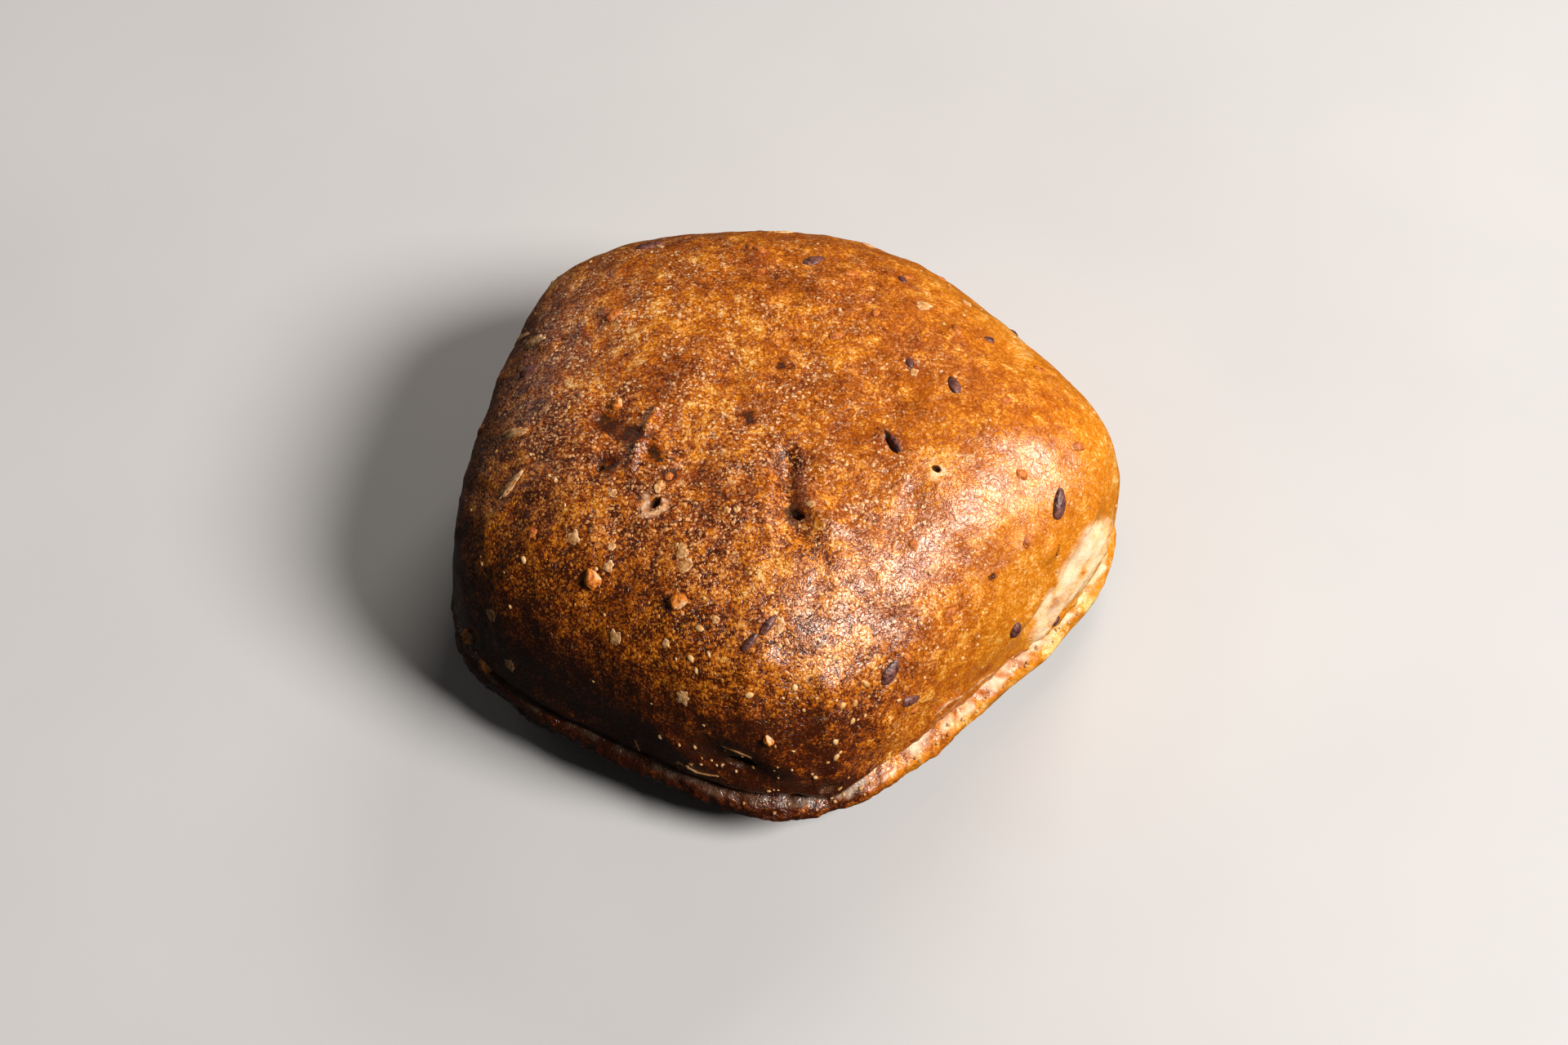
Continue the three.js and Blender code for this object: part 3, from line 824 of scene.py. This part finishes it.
def scattered_like(kind, size):
    """The scattered ones of a kind, as place, turn and size: flax, grain, flake or husk."""
    return [
        (place, turn, tuple(length * scale for length in size))
        for its_kind, place, turn, scale in scattered if its_kind == kind
    ]


flax_places += scattered_like(0, FLAX)
flax_shape, flax_faces = ball(20, 14, 0.18)
flax_parts = []
for i, (place, turn, size) in enumerate(flax_places):
    bent = flax_shape * (1 + 0.08 * rough(flax_shape, 0.8, 20 + i))[:, None]
    flax_parts.append((laid(bent, place, turn, size, -0.12, settled), flax_faces))
FLAX_BROWNS = [(0.055, 0.017, 0.014, 1), (0.23, 0.083, 0.064, 1)]
flax_finish = speckled(
    "toasted flax skin", (1.6, 4.0), FLAX_BROWNS, (0.32, 0.5), wrinkles=(2.2, 2.0, 0.16))
baked_in("flax_seeds", flax_parts, flax_finish)

# ---- Toasted grains ------------------------------------------------------------------------
# Cracked wheat and linseed that lie just under the skin or break through it. The thin skin over
# them took a red toast.
RED_GRAIN = (2.4, 1.5, 1.0)
SMALL_GRAIN = (1.8, 1.4, 0.9)
red_places = [
    ((347, 52), 0, RED_GRAIN), ((358, 44), 20, RED_GRAIN), ((336, 34), -54, RED_GRAIN),
    ((6, 63), 30, SMALL_GRAIN), ((33, 58), 60, RED_GRAIN), ((61, 78), -40, RED_GRAIN),
    ((70, 59), -42, RED_GRAIN), ((97, 56), 30, RED_GRAIN), ((98, 64), 70, SMALL_GRAIN),
    ((312, 29), 80, RED_GRAIN), ((205, 43), 0, SMALL_GRAIN), ((161, 25), 40, RED_GRAIN),
    ((173, 24), 10, RED_GRAIN), ((213, 74), 40, SMALL_GRAIN), ((54, 68), 10, SMALL_GRAIN),
    ((144, 62), 76, RED_GRAIN), ((312, 54), -30, SMALL_GRAIN), ((297.5, 7.5), -98, SMALL_GRAIN),
    ((297.5, 26), 30, SMALL_GRAIN),
] + scattered_like(1, RED_GRAIN)
grain_shape, grain_faces = ball(16, 10)
red_parts = []
for i, (place, turn, size) in enumerate(red_places):
    lumpy = grain_shape * (1 + 0.2 * rough(grain_shape, 0.8, 40 + i))[:, None]
    red_parts.append((laid(lumpy, place, turn, size, -0.22, settled), grain_faces))
GRAIN_REDS = [(0.38, 0.075, 0.010, 1), (0.70, 0.22, 0.03, 1)]
red_finish = speckled(
    "red toasted grain", (1.8, 4.0), GRAIN_REDS, (0.3, 0.5), wrinkles=(3.0, 3.0, 0.25))
baked_in("toasted_grains", red_parts, red_finish)

# ---- Cracked nubs --------------------------------------------------------------------------
# Nubs of cracked grain that stand out of the skin, toasted orange where their side caught the
# heat and still pale cream on the broken face.
NUB = (2.6, 2.1, 1.9)
SMALL_NUB = (1.7, 1.4, 1.3)
nub_places = [
    ((222, 44), 51, NUB), ((243, 50), -56, NUB), ((267, 17), 20, SMALL_NUB), ((205, 1), 0, NUB),
    ((210, 0), 40, NUB), ((176, 70), 60, SMALL_NUB),
]
nub_shape, nub_faces = ball(20, 14)
nub_parts, broken = [], []
for i, (place, turn, size) in enumerate(nub_places):
    lumpy = nub_shape * (1 + 0.38 * rough(nub_shape, 0.75, 60 + i))[:, None]
    face = lumpy @ np.array([0.75, 0.55, 0.35])
    lumpy = lumpy - np.outer(np.maximum(face - 0.6, 0) * 0.8, [0.75, 0.55, 0.35])
    nub_parts.append((laid(lumpy, place, turn, size, 0.1, settled), nub_faces))
    broken.append(np.clip(0.5 + 2.2 * (face - 0.5), 0, 1))
nub_finish, tree, shader, place = finish_of("cracked toasted grain")
grit = knead(tree, "TexNoise", {"Vector": place, "Scale": 2.2, "Detail": 4.0})
face = knead(tree, "Attribute", output=2, attribute_name="broken")
face = sum_up(tree, "ADD", face, weighed(tree, grit, 0.5, 1.2))
orange = coloured(tree, ramped(tree, grit, 0.35, 0.65), (0.45, 0.095, 0.006, 1),
                  (0.80, 0.26, 0.02, 1))
colour = coloured(tree, ramped(tree, face, 0.8, 1.05), orange, (0.80, 0.50, 0.24, 1))
tree.links.new(colour, shader.inputs["Base Color"])
tree.links.new(ramped(tree, grit, 0.3, 0.7, 0.45, 0.65), shader.inputs["Roughness"])
bumped(tree, shader, sum_up(tree, "MULTIPLY", grit, 0.3))
nubs = baked_in("cracked_nubs", nub_parts, nub_finish)
nubs.data.attributes.new("broken", "FLOAT", "POINT").data.foreach_set(
    "value", np.concatenate(broken))

# ---- Bran flakes and husks -----------------------------------------------------------------
# Flat flakes of bran and oat husk that lie in the glaze, tan and a little translucent, with a
# pale ragged rim. They follow every unevenness of the skin under them.


def draped(shape, place, turn, size, lift):
    """A thin shape laid on the crust so that it follows the crust's own unevenness."""
    out = crust_frame(place)[1]
    flat = laid(shape * [1, 1, 0], place, turn, size, 0)
    on_skin = np.array([settled(point, out) for point in flat])
    return on_skin + out * (lift + shape[:, 2:] * size[2] / 2)


FLAKE = (2.1, 1.8, 0.16)
SMALL_FLAKE = (1.2, 1.0, 0.16)
OAT_HUSK = (4.6, 1.4, 0.5)
SMALL_HUSK = (2.4, 0.8, 0.25)
CREAM_BIT = (1.0, 0.9, 0.4)
flake_places = [
    ((192, 43), 27, OAT_HUSK), ((313, 45), -100, (2.5, 1.4, 0.4)), ((215, 71), 40, (2.0, 1.0, 0.4)),
    ((223, 49), 0, (1.5, 1.2, 0.3)), ((209, 14), 0, FLAKE), ((237, 62), 30, (2.2, 1.5, 0.16)),
    ((240, 59), -20, FLAKE), ((250, 24), 0, FLAKE), ((212, 50), 15, FLAKE),
    ((208, 64), 0, SMALL_FLAKE), ((220, 54), 60, SMALL_FLAKE), ((269, 51), 0, (2.0, 1.2, 0.16)),
    ((253, 50), 30, SMALL_FLAKE), ((244, 38), 0, SMALL_FLAKE), ((233, 32), 20, FLAKE),
    ((244, 74), 0, CREAM_BIT), ((248, 75), 40, CREAM_BIT), ((283, 76), 70, (1.5, 0.9, 0.3)),
    ((21, 75), 60, SMALL_FLAKE), ((119, 46), 10, SMALL_HUSK), ((215, 4), 0, FLAKE),
    ((345, 64), 40, SMALL_FLAKE), ((301, 60), 10, SMALL_FLAKE),
]
flake_places += scattered_like(2, (2.1, 1.9, 0.4)) + scattered_like(3, OAT_HUSK)
flake_shape, flake_faces = ball(26, 12)
flake_parts, rims = [], []
for i, (place, turn, size) in enumerate(flake_places):
    wander = flake_shape * [1, 1, 0]
    ragged = flake_shape * (1 + 0.5 * rough(wander, 0.55, 80 + i))[:, None]
    ragged[:, 2] += 0.25 * rough(wander, 0.6, 180 + i)
    flake_parts.append((draped(ragged, place, turn, size, 0.02), flake_faces))
    rims.append(np.hypot(flake_shape[:, 0], flake_shape[:, 1]))
flake_finish, tree, shader, place = finish_of("glazed bran flake")
fibres = knead(tree, "TexNoise", {"Vector": place, "Scale": 1.7, "Detail": 5.0})
rim = knead(tree, "Attribute", output=2, attribute_name="rim")
rim = sum_up(tree, "ADD", rim, weighed(tree, fibres, 0.5, 1.2))
colour = coloured(tree, ramped(tree, fibres, 0.38, 0.62), (0.48, 0.19, 0.045, 1),
                  (0.84, 0.47, 0.20, 1))
colour = coloured(tree, ramped(tree, rim, 0.8, 1.1, 0, 0.8), colour, (0.90, 0.62, 0.38, 1))
tree.links.new(colour, shader.inputs["Base Color"])
tree.links.new(ramped(tree, fibres, 0.3, 0.7, 0.3, 0.5), shader.inputs["Roughness"])
bumped(tree, shader, sum_up(tree, "MULTIPLY", fibres, 0.15))
flakes = baked_in("bran_flakes", flake_parts, flake_finish)
flakes.data.attributes.new("rim", "FLOAT", "POINT").data.foreach_set(
    "value", np.concatenate(rims))

# ---- Pale grits ----------------------------------------------------------------------------
# Grits of meal no larger than a pinhead, thrown up to the skin as the dough was rolled. They
# stayed cream coloured. Twelve large ones have places of their own, and the rest lie all round,
# mostly low on the walls and more thickly at the front.
large_grits = [
    (208, 36), (250, 46), (250, 37), (272, 33), (281, 24), (284, 22), (283, 17), (279, 14),
    (279, 9), (263, 31), (287, 26), (281, 38),
]
GRITS_ALL_ROUND = 160
GRITS_IN_FRONT = 40
LARGE_GRIT = 0.9
grit_places = list(large_grits)
for i in range(GRITS_ALL_ROUND):
    grit_places.append((GOLDEN_ANGLE * i + 11, 80 * chance(i + 601) ** 1.5))
for i in range(GRITS_IN_FRONT):
    grit_places.append((chance(i + 1501, 268, 335), chance(i + 1601, 4, 48)))
grit_shape, grit_faces = ball(8, 6)
grit_parts = []
for i, place in enumerate(grit_places):
    across = LARGE_GRIT if i < len(large_grits) else chance(i + 701, 0.3, 0.6)
    lumpy = grit_shape * (1 + 0.3 * rough(grit_shape, 0.9, 120 + i))[:, None]
    size = (across * chance(i + 801, 1, 1.5), across, across * 0.6)
    points = laid(lumpy, place, chance(i + 901, 0, 360), size, -0.04, settled)
    grit_parts.append((points, grit_faces))
GRIT_CREAMS = [(0.62, 0.28, 0.06, 1), (0.90, 0.58, 0.27, 1)]
grit_finish = speckled("cream meal grits", (0.6, 3.0), GRIT_CREAMS, (0.3, 0.5))
baked_in("meal_grits", grit_parts, grit_finish)

# ---- Lifted skin ---------------------------------------------------------------------------
# Thin edges of dried skin: cracks that opened as the crust cooled, flaps over the crease, and
# the papery rim of the cave in the crumbled foot. Each is a narrow tapering strip.
STRIP_STEPS = 24
STRIP_SIDES = 8


def strip(places, width, tall):
    """A tapering strip of skin along a line of places, with a rounded edge."""
    steps = np.linspace(0, 1, STRIP_STEPS)
    stops = np.linspace(0, 1, len(places))
    bearings = np.interp(steps, stops, [place[0] for place in places])
    climbs = np.interp(steps, stops, [place[1] for place in places])
    frames = [crust_frame(place) for place in zip(bearings, climbs)]
    outs = np.array([out for point, out, up_slope in frames])
    line = np.array([settled(point, out) for point, out, up_slope in frames])
    line = line + 0.12 * rough(line, 0.9, 9)[:, None] * np.roll(outs, 1, axis=1)
    ways = np.gradient(line, axis=0)
    ways /= np.linalg.norm(ways, axis=1)[:, None]
    sides = np.cross(ways, outs)
    taper = np.sqrt(np.sin(np.pi * np.linspace(0.03, 0.97, STRIP_STEPS)))
    turns = np.linspace(0, 2 * np.pi, STRIP_SIDES, endpoint=False)
    rings = [
        line + taper[:, None] * (sides * np.cos(t) * width / 2 + outs * np.sin(t) * tall / 2)
        for t in turns
    ]
    points = np.stack(rings, axis=1).reshape(-1, 3)
    faces = []
    for i in range(STRIP_STEPS - 1):
        here, there = i * STRIP_SIDES, (i + 1) * STRIP_SIDES
        for j in range(STRIP_SIDES):
            k = (j + 1) % STRIP_SIDES
            faces.append((here + j, here + k, there + k, there + j))
    faces.append(tuple(range(STRIP_SIDES - 1, -1, -1)))
    faces.append(tuple(range(len(points) - STRIP_SIDES, len(points))))
    return points, faces


strips = [
    strip([(302, 2.5), (306, 3), (311, 2)], 0.5, 0.6),
    strip([(312, 1), (316, 1.5), (320, 1)], 0.4, 0.5),
    strip([(258, 10), (261, 10.5), (264, 9)], 0.5, 0.3),
    strip([(241, 2), (242, 0)], 0.2, 0.3),
    strip([(250, 2), (254, 1), (258, 1.5)], 0.5, 0.4),
]
SKIN_TANS = [(0.32, 0.10, 0.02, 1), (0.66, 0.38, 0.16, 1)]
skin_finish = speckled("dried lifted skin", (1.2, 3.0), SKIN_TANS, (0.35, 0.6))
baked_in("lifted_skin", strips, skin_finish)

# ---- Crumbs --------------------------------------------------------------------------------
# Where the foot tore from the next roll the crumb was laid bare, and it dried to loose crumbs
# that cling along the lip and, one in three, in the crumbled stretch of the front left foot.
CRUMBS = 60
crumb_shape, crumb_faces = ball(10, 7)
crumb_parts = []
for i in range(CRUMBS):
    on_foot = i % 3 == 0
    bearing = chance(i + 1001, 244, 276) if on_foot else chance(i + 1001, 262, 350)
    across = chance(i + 1101, 0.25, 0.65)
    lumpy = crumb_shape * (1 + 0.55 * rough(crumb_shape, 0.6, 400 + i))[:, None]
    if on_foot:
        place = (bearing, chance(i + 1201, 0.5, 9))
        size = (across * 1.3, across, across * 0.7)
        points = laid(lumpy, place, chance(i + 1301, 0, 360), size, 0, settled)
    else:
        way_out = np.array([math.cos(math.radians(bearing)), math.sin(math.radians(bearing)), 1])
        way_out /= np.linalg.norm(way_out)
        foot = squared_up(bearing, ROUND_RADIUS + chance(i + 1201, 0, 0.9),
                          LIP_TOP - chance(i + 1301, 0.2, 2.2))
        points = settled(foot, way_out) + lumpy * across / 2
    crumb_parts.append((points, crumb_faces))
CRUMB_TANS = [(0.40, 0.15, 0.03, 1), (0.78, 0.48, 0.22, 1)]
crumb_finish = speckled("dry crumb", (0.7, 4.0), CRUMB_TANS, (0.55, 0.8), wrinkles=(0.7, 4.0, 0.2))
baked_in("crumbs", crumb_parts, crumb_finish)

# ---- Studio --------------------------------------------------------------------------------
# A pale table under the roll, one large soft window from the right, a weaker one behind on the
# right, a faint one behind on the left, and a dim room.
bpy.ops.mesh.primitive_plane_add(size=6)
table = bpy.context.object
table.name = "table"
table_finish, tree, shader, place = finish_of("pale table")
cloudy = knead(tree, "TexNoise", {"Vector": place, "Scale": 0.02, "Detail": 3.0})
colour = coloured(tree, cloudy, (0.55, 0.55, 0.56, 1), (0.62, 0.62, 0.62, 1))
tree.links.new(colour, shader.inputs["Base Color"])
shader.inputs["Roughness"].default_value = 0.8
table.data.materials.append(table_finish)
table.visible_diffuse = False
table.visible_glossy = False


def window(name, way, distance, size, power, tint):
    """A round area light that faces the roll from a direction."""
    lamp = bpy.data.lights.new(name, "AREA")
    lamp.shape = "DISK"
    lamp.size = size
    lamp.energy = power
    lamp.color = tint
    holder = bpy.data.objects.new(name, lamp)
    way = np.array(way) / np.linalg.norm(way)
    holder.location = way * distance
    holder.rotation_euler = (
        math.acos(way[2]), 0, math.atan2(way[0], -way[1]))
    bpy.context.scene.collection.objects.link(holder)
    return holder


window("key window", (0.68, -0.26, 0.69), 1.0, 0.42, 15, (1, 0.95, 0.9))
back_window = window("back window", (0.35, 0.85, 0.5), 1.1, 0.5, 6, (1, 0.93, 0.84))
back_window.visible_glossy = False
window("left window", (-0.7, 0.75, 0.35), 1.2, 0.6, 0.9, (1, 0.92, 0.9))
room = bpy.data.worlds.new("room")
room.use_nodes = True
room.node_tree.nodes["Background"].inputs["Color"].default_value = (0.9, 0.86, 0.8, 1)
room.node_tree.nodes["Background"].inputs["Strength"].default_value = 0.03
bpy.context.scene.world = room
bpy.context.scene.view_settings.view_transform = "Standard"

# ---- Camera --------------------------------------------------------------------------------
# It looks down on the front corner from 58 degrees, far enough that the roll fills two fifths
# of the frame's width.
CAMERA_CLIMB = math.radians(58)
CAMERA_DISTANCE = 381 * MM
look_at = LOAF_AXIS + MM * np.array([-0.1, 7.3, 0])
camera_data = bpy.data.cameras.new("camera")
camera_data.lens = 60
camera_data.sensor_width = 36
camera = bpy.data.objects.new("camera", camera_data)
camera.location = look_at + CAMERA_DISTANCE * np.array(
    [0, -math.cos(CAMERA_CLIMB), math.sin(CAMERA_CLIMB)])
camera.rotation_euler = (math.pi / 2 - CAMERA_CLIMB, 0, 0)
bpy.context.scene.collection.objects.link(camera)
bpy.context.scene.camera = camera
